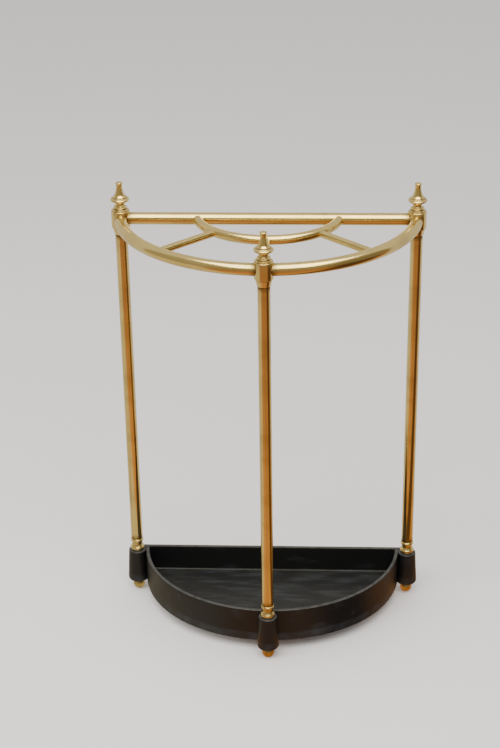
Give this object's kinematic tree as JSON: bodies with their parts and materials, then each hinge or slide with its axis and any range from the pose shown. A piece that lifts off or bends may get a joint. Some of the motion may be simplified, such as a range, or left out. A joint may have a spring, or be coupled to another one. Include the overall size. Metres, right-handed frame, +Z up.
{
  "type": "umbrella stand",
  "caption": "Half-round umbrella stand with tubular brass posts, a divided brass ring at the top and a black cast-iron drip tray, on ball feet.",
  "frame": {"origin": "on the ground, at the middle of the footprint, midway between the two rear posts' axes and the front post's axis", "axes": "+Z up, +X to the right as the stand is seen from the front, +Y towards the flat side that stands against a wall"},
  "size_m": [0.4094, 0.1898, 0.6177],
  "materials": {
    "brass": "polished brass, lightly tarnished to olive and brown, with hairline scratches",
    "iron": "satin black enamel on cast iron, rubbed grey along the top rim and boss edges",
    "steel": "plain bright steel rod, hidden inside the posts"
  },
  "bodies": {
    "root": {"base_tray": "iron", "foot_left": "brass", "ferrule_left": "brass", "post_left": "brass", "tie_rod_left": "steel", "collar_left": "brass", "finial_left": "brass", "foot_right": "brass", "ferrule_right": "brass", "post_right": "brass", "tie_rod_right": "steel", "collar_right": "brass", "finial_right": "brass", "foot_front": "brass", "ferrule_front": "brass", "post_front": "brass", "tie_rod_front": "steel", "collar_front": "brass", "finial_front": "brass", "back_rail": "brass", "ring_rail_left": "brass", "ring_rail_right": "brass", "inner_hoop": "brass", "spoke_left": "brass", "spoke_right": "brass", "spoke_centre": "brass"}
  },
  "joints": []
}
